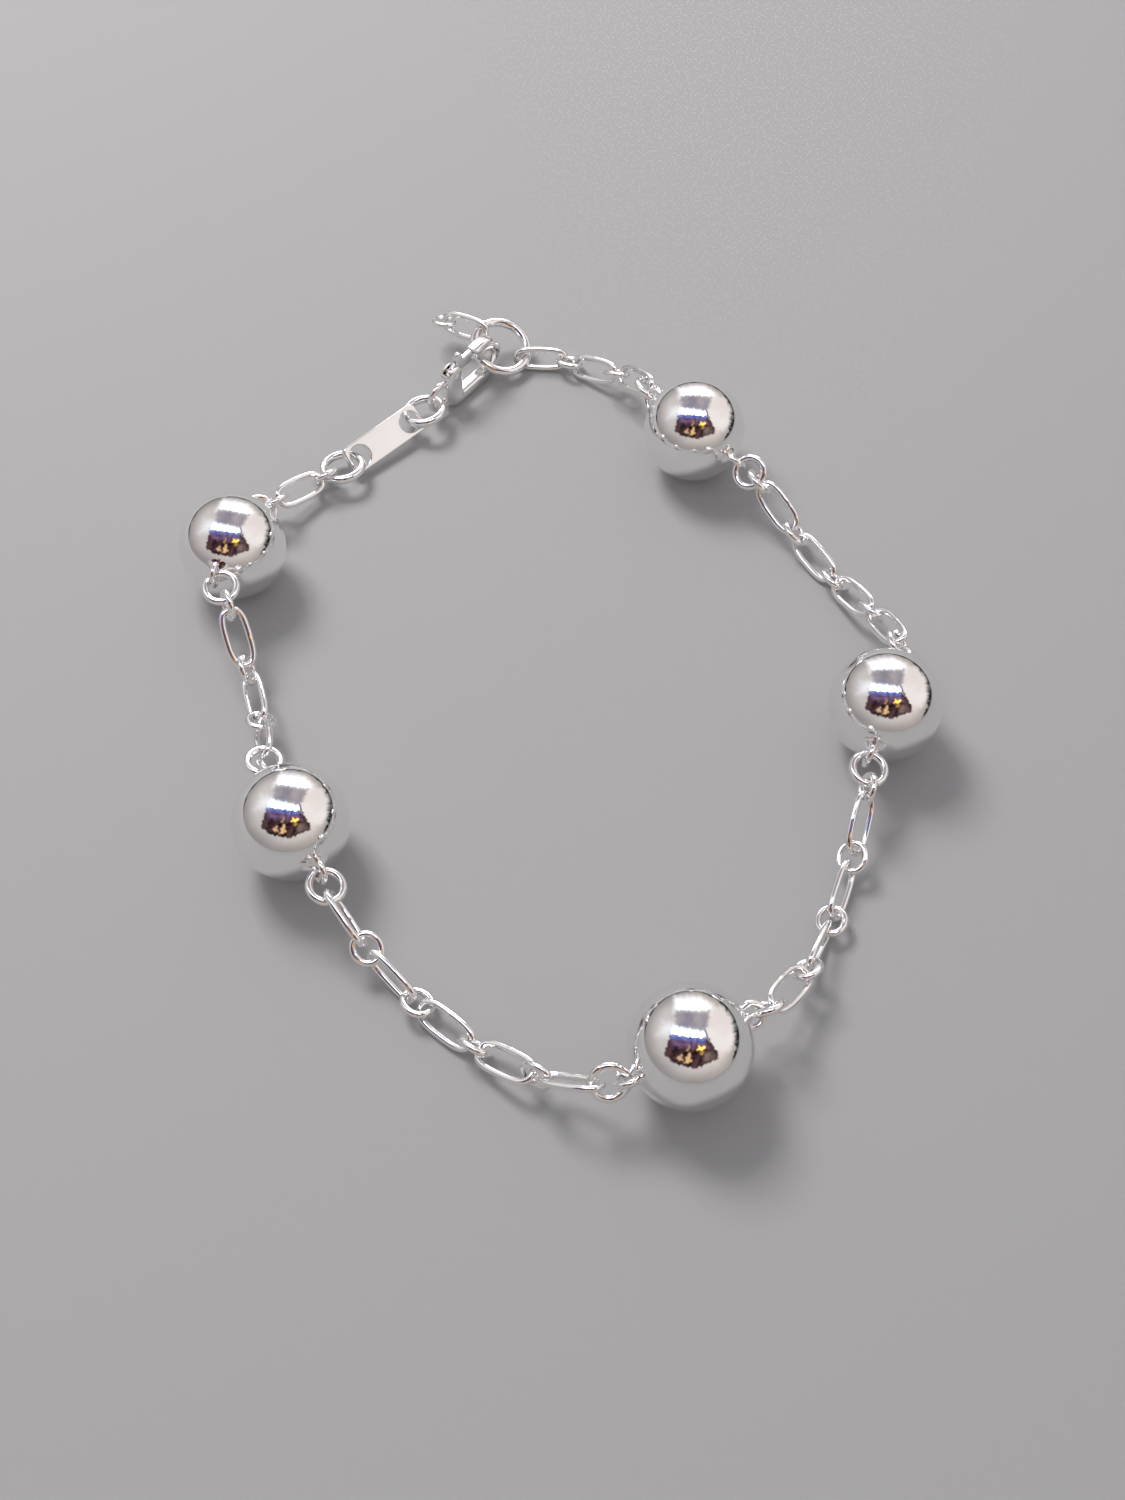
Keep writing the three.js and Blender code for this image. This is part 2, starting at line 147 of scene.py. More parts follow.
def arc_pose(points):
    """Pose of a ring of which the points are only a part: its plane, and its middle by a circle."""
    pose = principal_pose(points)
    local = np.array([pose.inverted() @ Vector(point) for point in points])
    x, y = local[:, 0], local[:, 1]
    terms = np.column_stack([2 * x, 2 * y, np.ones_like(x)])
    (mid_x, mid_y, _), *_ = np.linalg.lstsq(terms, x * x + y * y, rcond=None)
    return pose @ Matrix.Translation((mid_x, mid_y, 0))


def nodes_of(kind):
    """Names of the CAD nodes of a kind: its own name, or its name and a number."""
    return sorted(name for name in frame["nodes"] if kind in (name, name.rsplit("_", 1)[0]))


# ---------------------------------------------------------------- making pieces
def smooth(mesh):
    mesh.polygons.foreach_set("use_smooth", [True] * len(mesh.polygons))
    mesh.update()


def add_piece(name, mesh, matrix, node, body=BODY):
    """A finished piece that stands for a CAD node."""
    mesh.transform(matrix)
    for vertex in mesh.vertices:  # nothing stands out of the CAD model's box
        vertex.co = [min(max(value, low), high) for value, low, high in zip(vertex.co, *cad_bounds)]
    smooth(mesh)
    piece = bpy.data.objects.new(name, mesh)
    bpy.context.scene.collection.objects.link(piece)
    mesh.materials.append(silver)
    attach(piece, body)
    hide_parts(node)


def mesh_from(name, points, faces):
    mesh = bpy.data.meshes.new(name)
    mesh.from_pydata([tuple(point) for point in points], [], faces)
    mesh.update()
    return mesh


def join_meshes(name, meshes):
    """One mesh of several closed ones."""
    joined = bmesh.new()
    for mesh in meshes:
        joined.from_mesh(mesh)
        bpy.data.meshes.remove(mesh)
    mesh = bpy.data.meshes.new(name)
    joined.to_mesh(mesh)
    joined.free()
    return mesh


def oval_path(length, width, square):
    """Closed path of an oval with softly bowed sides, as many short steps, from its joint."""
    path = []
    for step in range(PATH_STEPS):
        turn = math.pi / 2 + 2 * math.pi * step / PATH_STEPS
        across, along = math.sin(turn), math.cos(turn)
        path.append(Vector((
            length / 2 * math.copysign(abs(along) ** (2 / square), along),
            width / 2 * math.copysign(abs(across) ** (2 / square), across),
        )))
    return path


def wire_places(total, reach):
    """Where a wire's sections are along it, closer together near its joint, which is at 0."""
    margin = 3 * reach  # the joint's swelling is spent this far away
    near = [margin * part / SEAM_SECTIONS for part in range(-SEAM_SECTIONS, SEAM_SECTIONS + 1)]
    far = np.linspace(margin, total - margin, PLAIN_SECTIONS + 2)[1:-1]
    return sorted({round(float(place) % total, 6) for place in [*near, *far]})


def tube_faces(sections, sides):
    """Faces of a tube that closes on itself."""
    faces = []
    for section in range(sections):
        here = section * sides
        following = (section + 1) % sections * sides
        for side in range(sides):
            after = (side + 1) % sides
            faces.append((here + side, following + side, following + after, here + after))
    return faces


def wire_mesh(name, length, width, wire, square, seam, sides=20):
    """Round wire bent to a closed oval or ring in the XY plane, with its joint on one side."""
    reach = SEAMS[seam]["reach"]
    swell = SEAMS[seam]["swell"]
    glance = 0.06  # how far ahead and behind to look for the wire's direction
    path = oval_path(length - wire, width - wire, square)
    steps = [(path[i] - path[i - 1]).length for i in range(len(path))]
    run = np.cumsum([0.0] + steps[1:])
    total = run[-1] + steps[0]
    run = np.append(run, total)
    track = np.array([tuple(point) for point in path] + [tuple(path[0])])

    def at(place):
        place %= total
        return Vector((np.interp(place, run, track[:, 0]), np.interp(place, run, track[:, 1])))

    points = []
    places = wire_places(total, reach)
    for place in places:
        middle = at(place)
        way = (at(place + glance) - at(place - glance)).normalized()
        out = Vector((way.y, -way.x))
        if out.dot(middle) < 0:
            out.negate()
        away = min(place, total - place) / reach
        radius = wire / 2 * (1 + swell * math.exp(-away * away))
        for side in range(sides):
            angle = 2 * math.pi * side / sides
            skin = middle + out * radius * math.cos(angle)
            points.append((skin.x, skin.y, radius * math.sin(angle)))
    mesh = mesh_from(name, points, tube_faces(len(places), sides))
    mesh.transform(Matrix.Scale(MM, 4))
    return mesh


def lathe_mesh(name, profile, around=64):
    """A closed solid turned about Z from (radius, height) pairs that start and end on the axis."""
    points = [(0, 0, profile[0][1])]
    for radius, height in profile[1:-1]:
        for step in range(around):
            angle = 2 * math.pi * step / around
            points.append((radius * math.cos(angle), radius * math.sin(angle), height))
    points.append((0, 0, profile[-1][1]))
    faces = []
    rings = len(profile) - 2
    for step in range(around):
        after = (step + 1) % around
        faces.append((0, 1 + after, 1 + step))
        for ring in range(rings - 1):
            low, high = 1 + ring * around, 1 + (ring + 1) * around
            faces.append((low + step, low + after, high + after, high + step))
        top = 1 + (rings - 1) * around
        faces.append((top + step, top + after, len(points) - 1))
    mesh = mesh_from(name, points, faces)
    mesh.transform(Matrix.Scale(MM, 4))
    return mesh


def ball_profile(radius, rings=96):
    """A half circle, from the ball's back pole to its front pole."""
    turns = [math.pi * step / rings for step in range(rings + 1)]
    return [(radius * math.sin(turn), -radius * math.cos(turn)) for turn in turns]


def collar_profile(ball_radius):
    """Solder that creeps up the foot of an eye, over the ball's surface."""
    outer, inner, rise = COLLAR["outer"], COLLAR["inner"], COLLAR["rise"]
    deep = ball_radius - COLLAR["root"]
    profile = [(0, deep), (outer * 0.9, deep)]  # the root, hidden in the ball
    steps = 12
    for step in range(steps + 1):
        part = step / steps
        radius = outer + (inner - outer) * part
        skin = math.sqrt(ball_radius**2 - radius**2) - COLLAR["sunk"]
        profile.append((radius, skin + rise * part * part * (3 - 2 * part)))
    profile.append((0, profile[-1][1]))
    return profile


# ---------------------------------------------------------------- flat outlines for tag and clasp
def arc(x, y, radius, start, end, steps=24):
    """Points along a round stretch, from one bearing to another in degrees."""
    turns = [math.radians(start + (end - start) * step / steps) for step in range(steps + 1)]
    return [(x + radius * math.cos(turn), y + radius * math.sin(turn)) for turn in turns]


def hole(x, y, radius, corners=48):
    """A round hole's outline, clockwise."""
    return arc(x, y, radius, 360, 360 / corners, corners - 1)


def bow(start, pull, end, steps=12):
    """Points along a curve that is pulled towards a point between its ends, without its start."""
    points = []
    for step in range(1, steps + 1):
        part = step / steps
        points.append(tuple(
            (1 - part) ** 2 * first + 2 * part * (1 - part) * middle + part * part * last
            for first, middle, last in zip(start, pull, end)
        ))
    return points


def plate_mesh(name, outlines, thick, rounding, steps=5):
    """A plate with rounded edges, from an outline and any holes, lying evenly about z = 0."""
    curve = bpy.data.curves.new(name, "CURVE")
    curve.dimensions = "2D"
    curve.fill_mode = "BOTH"
    curve.extrude = (thick / 2 - rounding) * MM
    curve.bevel_depth = rounding * MM
    curve.bevel_resolution = steps
    curve.offset = -rounding * MM
    for outline in outlines:
        before = outline[-1:] + outline[:-1]
        kept = [point for point, last in zip(outline, before) if math.dist(point, last) > SAME_PLACE]
        spline = curve.splines.new("POLY")
        spline.points.add(len(kept) - 1)
        for point, (x, y) in zip(spline.points, kept):
            point.co = (x * MM, y * MM, 0, 1)
        spline.use_cyclic_u = True
    holder = bpy.data.objects.new(name, curve)
    bpy.context.scene.collection.objects.link(holder)
    bpy.context.view_layer.update()
    mesh = bpy.data.meshes.new_from_object(holder.evaluated_get(bpy.context.evaluated_depsgraph_get()))
    bpy.data.objects.remove(holder)
    bpy.data.curves.remove(curve)
    shape = bmesh.new()
    shape.from_mesh(mesh)
    bmesh.ops.remove_doubles(shape, verts=shape.verts, dist=1e-7)
    bmesh.ops.recalc_face_normals(shape, faces=shape.faces)
    shape.to_mesh(mesh)
    shape.free()
    mesh.materials.clear()
    return mesh


def with_modifiers(name, mesh, *settings):
    """The mesh with modifiers applied, each given as its type and its settings."""
    holder = bpy.data.objects.new(name, mesh)
    bpy.context.scene.collection.objects.link(holder)
    for kind, values in settings:
        modifier = holder.modifiers.new(kind, kind)
        for key, value in values.items():
            setattr(modifier, key, value)
    bpy.context.view_layer.update()
    result = bpy.data.meshes.new_from_object(holder.evaluated_get(bpy.context.evaluated_depsgraph_get()))
    bpy.data.objects.remove(holder)
    return result


def cut(mesh, cutter):
    """The mesh with the cutter's space taken out of it."""
    tool = bpy.data.objects.new("cutter", cutter)
    bpy.context.scene.collection.objects.link(tool)
    result = with_modifiers("cut", mesh, ("BOOLEAN", {
        "operation": "DIFFERENCE", "object": tool, "solver": "EXACT",
    }))
    bpy.data.objects.remove(tool)
    return result


def block_mesh(name, low, high):
    """A box between two corners, as a tool to cut with."""
    shape = bmesh.new()
    bmesh.ops.create_cube(shape, size=1)
    for vertex in shape.verts:
        place = [(start + end) / 2 + part * (end - start) for start, end, part in zip(low, high, vertex.co)]
        vertex.co = Vector(place) * MM
    mesh = bpy.data.meshes.new(name)
    shape.to_mesh(mesh)
    shape.free()
    return mesh


def tag_outline():
    """A rectangle with rounded corners."""
    corner = TAG["corner"]
    x, y = TAG["length"] / 2 - corner, TAG["width"] / 2 - corner
    points = []
    for x_side, y_side, start in ((1, 1, 0), (-1, 1, 90), (-1, -1, 180), (1, -1, 270)):
        points += arc(x_side * x, y_side * y, corner, start, start + 90, 8)
    return points


def clasp_outline():
    """The clasp's block, back limb and hook, with its tail eye's middle near the origin."""
    back, front, shoulder = CLASP["back"], CLASP["front"], CLASP["shoulder"]
    bend, inner, outer = CLASP["bend"], CLASP["inner"], CLASP["outer"]
    mouth, lip, lip_side = CLASP["mouth"], CLASP["lip"], CLASP["lip_side"]
    points = [(back, -0.8)]
    points += bow(points[-1], (1.0, -1.9), (2.1, -2.0))
    points += arc(bend, 0, outer, -90, 90, 48)
    points += [(lip, outer), (lip, lip_side), (mouth, lip_side), (mouth, inner)]
    points += arc(bend, 0, inner, 90, -90, 32)
    points += [(front, -inner), (front, 1.3)]
    points += bow(points[-1], (front, shoulder), (2.0, shoulder))
    points += [(1.7, shoulder)]
    points += bow(points[-1], (back, 1.7), (back, 0.8))
    return points


def lever_outline():
    """The gate, from its round root to the step under the hook's lip, with its thumb knob."""
    inner, shoulder = CLASP["inner"], CLASP["shoulder"]
    end = CLASP["mouth"] - LEVER["gap"]
    step = CLASP["lip"] - LEVER["gap"]
    side = CLASP["lip_side"] - LEVER["gap"]
    points = arc(LEVER["x"], LEVER["y"], LEVER["root"], 90, 270)
    points += [(CLASP["front"] + LEVER["heel"], inner), (end, inner), (end, side), (step, side)]
    points += [(step, shoulder), (KNOB["to"], shoulder)]
    points += bow(points[-1], KNOB["to_pull"], KNOB["crown"])
    points += bow(points[-1], KNOB["from_pull"], (KNOB["from"], shoulder))
    return points


# ---------------------------------------------------------------- polished silver
def silver_material():
    """Polished silver: a clean mirror with faint clouding, hairline scratches and soft waves."""
    material = bpy.data.materials.new("polished_silver")
    material.use_nodes = True
    nodes, links = material.node_tree.nodes, material.node_tree.links
    shader = nodes["Principled BSDF"]
    shader.inputs["Metallic"].default_value = 1.0
    place = nodes.new("ShaderNodeTexCoord")

    clouds = nodes.new("ShaderNodeTexNoise")
    clouds.inputs["Scale"].default_value = 420.0
    clouds.inputs["Detail"].default_value = 5.0
    links.new(place.outputs["Object"], clouds.inputs["Vector"])

    tone = nodes.new("ShaderNodeValToRGB")
    tone.color_ramp.elements[0].position = 0.3
    tone.color_ramp.elements[0].color = (0.915, 0.905, 0.895, 1)
    tone.color_ramp.elements[1].position = 0.7
    tone.color_ramp.elements[1].color = (0.96, 0.952, 0.945, 1)
    links.new(clouds.outputs["Fac"], tone.inputs["Fac"])
    links.new(tone.outputs["Color"], shader.inputs["Base Color"])

    haze = nodes.new("ShaderNodeMapRange")
    haze.inputs["From Min"].default_value = 0.35
    haze.inputs["From Max"].default_value = 0.75
    haze.inputs["To Min"].default_value = 0.045
    haze.inputs["To Max"].default_value = 0.11
    links.new(clouds.outputs["Fac"], haze.inputs["Value"])
    links.new(haze.outputs["Result"], shader.inputs["Roughness"])

    stretch = nodes.new("ShaderNodeMapping")
    stretch.inputs["Scale"].default_value = (1.0, 9.0, 3.0)
    stretch.inputs["Rotation"].default_value = (0.4, 0.3, 0.6)
    links.new(place.outputs["Object"], stretch.inputs["Vector"])
    scratches = nodes.new("ShaderNodeTexNoise")
    scratches.inputs["Scale"].default_value = 2200.0
    scratches.inputs["Detail"].default_value = 3.0
    links.new(stretch.outputs["Vector"], scratches.inputs["Vector"])
    fine = nodes.new("ShaderNodeBump")
    fine.inputs["Strength"].default_value = 0.05
    fine.inputs["Distance"].default_value = 0.00001
    links.new(scratches.outputs["Fac"], fine.inputs["Height"])

    waves = nodes.new("ShaderNodeTexNoise")
    waves.inputs["Scale"].default_value = 260.0
    waves.inputs["Detail"].default_value = 1.0
    links.new(place.outputs["Object"], waves.inputs["Vector"])
    broad = nodes.new("ShaderNodeBump")
    broad.inputs["Strength"].default_value = 0.08
    broad.inputs["Distance"].default_value = 0.0001
    links.new(waves.outputs["Fac"], broad.inputs["Height"])
    links.new(fine.outputs["Normal"], broad.inputs["Normal"])
    links.new(broad.outputs["Normal"], shader.inputs["Normal"])
    return material


silver = silver_material()

# ---------------------------------------------------------------- links and rings
ring_poses = []  # of the rings in the balls' eyes
for kind, size in WIRES.items():
    for node in nodes_of(kind):
        pose = principal_pose(cad_points(node))
        add_piece(f"{node}_wire", wire_mesh(node, **size), pose, node)
        if kind == "bead_ring":
            ring_poses.append(pose)


# ---------------------------------------------------------------- balls with their eyes
def ball_place(node, points):
    """A ball's radius, from its box, and its middle, under the ring of corners round its crown."""
    low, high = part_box(node)
    crown = points[points[:, 2] > high.z - 1e-6].mean(axis=0)
    return (high.z - low.z) / 2, Vector((crown[0], crown[1], (low.z + high.z) / 2))


def loop_mesh(radius, wire):
    """A round wire eye, in the XY plane."""
    over = 2 * radius + wire
    return wire_mesh("eye", over, over, wire, square=2.0, seam="solder", sides=24)


def eye_mesh(middle, radius, out):
    """An eye that stands on a ball across the ring it holds, with solder round its foot."""
    at = middle + out * EYE["centre"] * MM
    near = min(ring_poses, key=lambda pose: (pose.translation - at).length)
    through = out.cross(near.to_3x3().col[2]).normalized()
    eye = loop_mesh(EYE["radius"], EYE["wire"])
    eye.transform(pose_matrix(at, out, through.cross(out), through))
    collar = lathe_mesh("collar", collar_profile(radius / MM))
    collar.transform(pose_matrix(middle, through.cross(out), through, out))
    return join_meshes("eye", [eye, collar])


for node, (bearing, rise) in BALL_AXES.items():
    points = cad_points(node)
    radius, middle = ball_place(node, points)
    front = Vector((math.cos(math.radians(bearing)), math.sin(math.radians(bearing)), rise)).normalized()
    left = Vector((0, 0, 1)).cross(front).normalized()
    ends = (("front", front), ("back", -front))
    far = points[np.linalg.norm(points - np.array(middle), axis=1) > BEAD_REACH * MM]
    for side, out in ends:
        joined = far[(far - np.array(middle)) @ np.array(out) > 0]
        if len(joined):
            pose = arc_pose(joined)
            add_piece(f"{node}_ring_{side}", wire_mesh(node, **WIRES["bead_ring"]), pose, node)
            ring_poses.append(pose)
    ball = lathe_mesh(f"{node}_ball", ball_profile(radius / MM), around=160)
    add_piece(f"{node}_ball", ball, pose_matrix(middle, left, front.cross(left), front), node)
    for side, out in ends:
        add_piece(f"{node}_eye_{side}", eye_mesh(middle, radius, out), Matrix(), node)

# ---------------------------------------------------------------- tag
tag_holes = [hole(end * TAG["between"] / 2, 0, TAG["hole"]) for end in (1, -1)]
tag_mesh = plate_mesh("tag", [tag_outline(), *tag_holes], TAG["thick"], TAG["round"])
add_piece("tag_plate", tag_mesh, principal_pose(cad_points("tag")), "tag")


# ---------------------------------------------------------------- clasp
def pose_of_clasp():
    """The clasp's pose: its Z along the lever's axis, and turned so that its outline fits the CAD's."""
    joint = frame["joints"][0]
    pivot = Vector(joint["pos_m"])
    z_axis = -Vector(joint["axis"])
    start_x = z_axis.orthogonal().normalized()
    start_y = z_axis.cross(start_x)
    local = cad_points("clasp_body") - np.array(pivot)
    flat = np.column_stack([local @ np.array(start_x), local @ np.array(start_y)]) / MM
    reach = np.array([
        CLASP["eye_x"] - CLASP["eye_radius"] - CLASP["eye_wire"] / 2 - LEVER["x"],
        CLASP["bend"] + CLASP["outer"] - LEVER["x"],
        -CLASP["outer"] - LEVER["y"],
        CLASP["outer"] - LEVER["y"],
    ])

    def misfit(angle):
        """How far the CAD's reach is from the known one when X is at this angle."""
        x = flat @ np.array([math.cos(angle), math.sin(angle)])
        y = flat @ np.array([-math.sin(angle), math.cos(angle)])
        return np.abs(np.array([x.min(), x.max(), y.min(), y.max()]) - reach).sum()

    best = min((math.radians(step / 20) for step in range(7200)), key=misfit)
    x_axis = start_x * math.cos(best) + start_y * math.sin(best)
    y_axis = z_axis.cross(x_axis)
    origin = pivot - (x_axis * LEVER["x"] + y_axis * LEVER["y"]) * MM
    return pose_matrix(origin, x_axis, y_axis, z_axis)


def as_cast(name, mesh, grain, passes):
    """The mesh as one skin with softly rounded edges."""
    return with_modifiers(
        name, mesh,
        ("REMESH", {"mode": "VOXEL", "voxel_size": grain * MM, "use_smooth_shade": True}),
        ("SMOOTH", {"factor": 0.5, "iterations": passes}),
    )


clasp_pose = pose_of_clasp()
body = plate_mesh("clasp_body", [clasp_outline()], CLASP["thick"], CLASP["round"])
half_slot = LEVER["slot"] / 2
slot = block_mesh("slot", (*CLASP["slot_from"], -half_slot), (*CLASP["slot_to"], half_slot))
body = cut(body, slot)
eye = loop_mesh(CLASP["eye_radius"], CLASP["eye_wire"])
eye.transform(Matrix.Translation((CLASP["eye_x"] * MM, 0, 0)))
body = as_cast("clasp_body", join_meshes("clasp_body", [body, eye]), **CAST["body"])
rivet_profile = [(radius, -height) for radius, height in reversed(RIVET)] + list(RIVET)
rivet = lathe_mesh("rivet", rivet_profile, around=40)
rivet.transform(Matrix.Translation((LEVER["x"] * MM, LEVER["y"] * MM, 0)))
body = join_meshes("clasp_body", [body, rivet])
add_piece("clasp_body_cast", body, clasp_pose, "clasp_body")

lever = plate_mesh("clasp_lever", [lever_outline()], LEVER["thick"], LEVER["round"])
lever = as_cast("clasp_lever", lever, **CAST["lever"])
add_piece("clasp_lever_gate", lever, clasp_pose, "clasp_lever", body="lever")

# ---------------------------------------------------------------- camera
AIM = Vector((0.00105, -0.0071, 0))  # where the camera's middle line meets the surface
ELEVATION = math.radians(56)
DISTANCE = 0.1216
TO_CAMERA = Vector((0, -math.cos(ELEVATION), math.sin(ELEVATION)))
CAMERA_UP = Vector((0, math.sin(ELEVATION), math.cos(ELEVATION)))
CAMERA_RIGHT = Vector((1, 0, 0))
camera = bpy.data.objects.new("camera", bpy.data.cameras.new("camera"))
camera.data.lens = 40.8
camera.data.sensor_width = 36
camera.data.clip_start = 0.002
camera.data.clip_end = 10
camera.location = AIM + TO_CAMERA * DISTANCE
camera.rotation_euler = (math.pi / 2 - ELEVATION, 0, 0)
bpy.context.scene.collection.objects.link(camera)
bpy.context.scene.camera = camera


# ---------------------------------------------------------------- floor, world and key light
FLOOR_HALF = 2  # metres


def plain_material(name, colour, roughness):
    """One colour and roughness all over."""
    material = bpy.data.materials.new(name)
    material.use_nodes = True
    shader = material.node_tree.nodes["Principled BSDF"]
    shader.inputs["Base Color"].default_value = (*colour, 1)
    shader.inputs["Roughness"].default_value = roughness
    return material


def area_light(name, at, target, size, energy, colour):
    """A soft lamp that faces its target and doesn't show in the silver."""
    lamp = bpy.data.lights.new(name, "AREA")
    lamp.shape = "RECTANGLE"
    lamp.size, lamp.size_y = size
    lamp.energy = energy
    lamp.color = colour
    holder = bpy.data.objects.new(name, lamp)
    holder.location = at
    way = Vector(target) - Vector(at)
    holder.rotation_euler = way.to_track_quat("-Z", "Y").to_euler()
    holder.visible_glossy = False
    bpy.context.scene.collection.objects.link(holder)


floor_corners = [(x * FLOOR_HALF, y * FLOOR_HALF, 0) for x, y in ((-1, -1), (1, -1), (1, 1), (-1, 1))]
floor_mesh = mesh_from("floor", floor_corners, [(0, 1, 2, 3)])
floor = bpy.data.objects.new("floor", floor_mesh)
bpy.context.scene.collection.objects.link(floor)
floor_mesh.materials.append(plain_material("pale_floor", colour=(0.5, 0.495, 0.505), roughness=0.85))

world = bpy.data.worlds.new("studio")
world.use_nodes = True
backdrop = world.node_tree.nodes["Background"]
backdrop.inputs["Color"].default_value = (0.97, 0.96, 0.97, 1)
backdrop.inputs["Strength"].default_value = 0.42
bpy.context.scene.world = world
bpy.context.scene.view_settings.view_transform = "Standard"

area_light(
    "key", at=(-0.16, 0.22, 0.34), target=(0, 0, 0), size=(0.16, 0.16),
    energy=1.1, colour=(1, 0.98, 0.96),
)

# ---------------------------------------------------------------- what the silver mirrors
# A white tent round the bracelet, warmer to the right, with a dark gap under its hem behind; in
# it, above the camera, a window in two bright bands with a grey middle; and under the window the
# dark room with the camera and a few warm lamps. Colours are linear.
TENT = {  # a sphere in metres; its two tones and how they meet; how dim it is low down; its folds
    "radius": 0.9, "facets": 400,
    "left": (0.61, 0.575, 0.56), "right": (0.82, 0.735, 0.7), "meet_over": 0.9, "right_share": 0.45,
    "low_light": 0.5, "full_light_from": 0.6,
    "fold_size": 0.55, "fold_dark": 0.93, "fold_range": 0.14,
}
HEM = {  # degrees: how high the gap reaches, where it is highest, begins and ends, and its blurs
    "low": 3.2, "high": 19.0, "bearing": 20, "spread": 24, "from": -28, "to": 175,
    "blur": 1.5, "from_blur": 12, "to_blur": 25,
    "rag_size": 0.13, "rag_low": 0.6, "rag_range": 0.8,
    "dark": (0.012, 0.013, 0.016), "grey": (0.16, 0.19, 0.19), "grey_size": 0.1,
}
RAGGED = 0.007  # how unevenly the edges of what is in the tent run, on a ball's disc
STUDIO = {  # by name: two colours, size of their patches, blur of the edge, corners on a ball's disc
    "panel": (
        ((0.84, 0.76, 0.74), (0.92, 0.87, 0.85)), 0.5, 0.1,
        ((0.2, 0.25), (0.36, 0.0), (0.54, -0.06), (0.66, 0.12), (0.66, 0.4), (0.54, 0.58), (0.32, 0.62)),
    ),
    "spill": (
        ((0.85, 0.86, 0.9), (0.95, 0.96, 1.0)), 0.4, 0.2,
        ((-0.5, 0.22), (-0.28, 0.2), (-0.22, 0.42), (-0.44, 0.4)),
    ),
    "window_high": (
        ((1.1, 1.12, 1.25), (1.6, 1.6, 1.65)), 0.4, 0.16,
        ((-0.25, 0.59), (0.31, 0.55), (0.36, 0.63), (0.2, 0.75), (0.0, 0.8), (-0.23, 0.78)),
    ),
    "window_middle": (
        ((0.28, 0.26, 0.32), (0.42, 0.38, 0.4)), 0.3, 0.09,
        ((-0.26, 0.33), (0.2, 0.26), (0.32, 0.57), (-0.24, 0.61)),
    ),
    "window_low": (
        ((1.1, 1.3, 1.7), (1.6, 1.7, 1.85)), 0.3, 0.07,
        ((-0.33, 0.235), (0.2, 0.165), (0.22, 0.28), (-0.28, 0.37)),
    ),
    "glare_high": (
        ((6.5, 6.5, 6.8), (8.0, 8.0, 8.0)), 0.3, 0.05,
        ((-0.2, 0.64), (0.28, 0.61), (0.26, 0.68), (0.0, 0.73), (-0.18, 0.72)),
    ),
    "glare_low": (
        ((5.2, 5.7, 6.6), (6.5, 6.8, 7.2)), 0.3, 0.04,
        ((-0.26, 0.25), (0.17, 0.19), (0.19, 0.24), (-0.23, 0.32)),
    ),
    "room": (
        ((0.012, 0.005, 0.009), (0.1, 0.05, 0.055)), 0.13, 0.03,
        ((-0.42, -0.07), (-0.27, -0.19), (0.04, -0.26), (0.39, -0.12), (0.37, -0.01), (0.21, 0.19),
         (-0.33, 0.22)),
    ),
    "shelf": (
        ((0.1, 0.05, 0.13), (0.22, 0.14, 0.25)), 0.07, 0.08,
        ((-0.31, 0.06), (0.25, 0.03), (0.21, 0.17), (-0.32, 0.2)),
    ),
    "sky": (
        ((0.06, 0.12, 0.5), (0.24, 0.26, 0.55)), 0.06, 0.05,
        ((-0.32, 0.18), (0.19, 0.125), (0.21, 0.18), (-0.34, 0.245)),
    ),
    "floor_right": (
        ((0.11, 0.07, 0.06), (0.24, 0.16, 0.15)), 0.12, 0.06,
        ((0.13, -0.18), (0.35, -0.12), (0.33, -0.03), (0.17, -0.02)),
    ),
    "lamp": (
        ((2.0, 1.0, 0.08), (2.6, 1.7, 0.4)), 0.08, 0.025,
        ((0.08, 0.01), (0.18, 0.02), (0.19, 0.06), (0.09, 0.07)),
    ),
    "lamp_glow": (
        ((0.3, 0.16, 0.03), (0.5, 0.3, 0.06)), 0.08, 0.03,
        ((0.1, -0.05), (0.16, -0.05), (0.17, 0.005), (0.11, 0.005)),
    ),
    "curtain_left": (
        ((0.5, 0.3, 0.17), (0.75, 0.5, 0.32)), 0.06, 0.03,
        ((-0.22, -0.13), (-0.14, -0.16), (-0.145, -0.06), (-0.195, -0.06)),
    ),
    "curtain_right": (
        ((0.7, 0.4, 0.12), (0.9, 0.62, 0.35)), 0.05, 0.025,
        ((-0.12, -0.18), (-0.01, -0.17), (-0.03, -0.04), (-0.06, -0.03)),
    ),
    "curtain_top": (
        ((0.35, 0.2, 0.1), (0.5, 0.32, 0.2)), 0.05, 0.02,
        ((-0.09, 0.0), (-0.045, 0.0), (-0.03, 0.09), (-0.055, 0.09)),
    ),
    "pole": (
        ((0.05, 0.03, 0.03), (0.1, 0.06, 0.05)), 0.1, 0.014,
        ((0.185, 0.3), (0.315, -0.01), (0.335, 0.0), (0.205, 0.31)),
    ),
}


def mirrored_place(ways):
    """Where a ball mirrors each way, as right and up on its disc as the camera sees it (radius 1)."""
    normals = ways + np.array(TO_CAMERA)
    normals /= np.maximum(np.linalg.norm(normals, axis=1), 1e-9)[:, None]
    return normals @ np.array(CAMERA_RIGHT), normals @ np.array(CAMERA_UP)


def soft_step(value):
    """0 below 0, 1 above 1, and soft between."""
    value = np.clip(value, 0, 1)
    return value * value * (3 - 2 * value)


def blend(first, second, share):
    """Colours between two, by the second one's share."""
    return np.array(first) * (1 - share[:, None]) + np.array(second) * share[:, None]


def inside(right, up, corners, blur):
    """1 inside an outline without hollows, given anticlockwise, 0 outside it, and soft between."""
    depth = np.full_like(right, 9.0)
    for start, end in zip(corners, corners[1:] + corners[:1]):
        length = math.dist(start, end)
        way_x, way_y = (end[0] - start[0]) / length, (end[1] - start[1]) / length
        depth = np.minimum(depth, way_x * (up - start[1]) - way_y * (right - start[0]))
    return soft_step(depth / blur + 0.5)


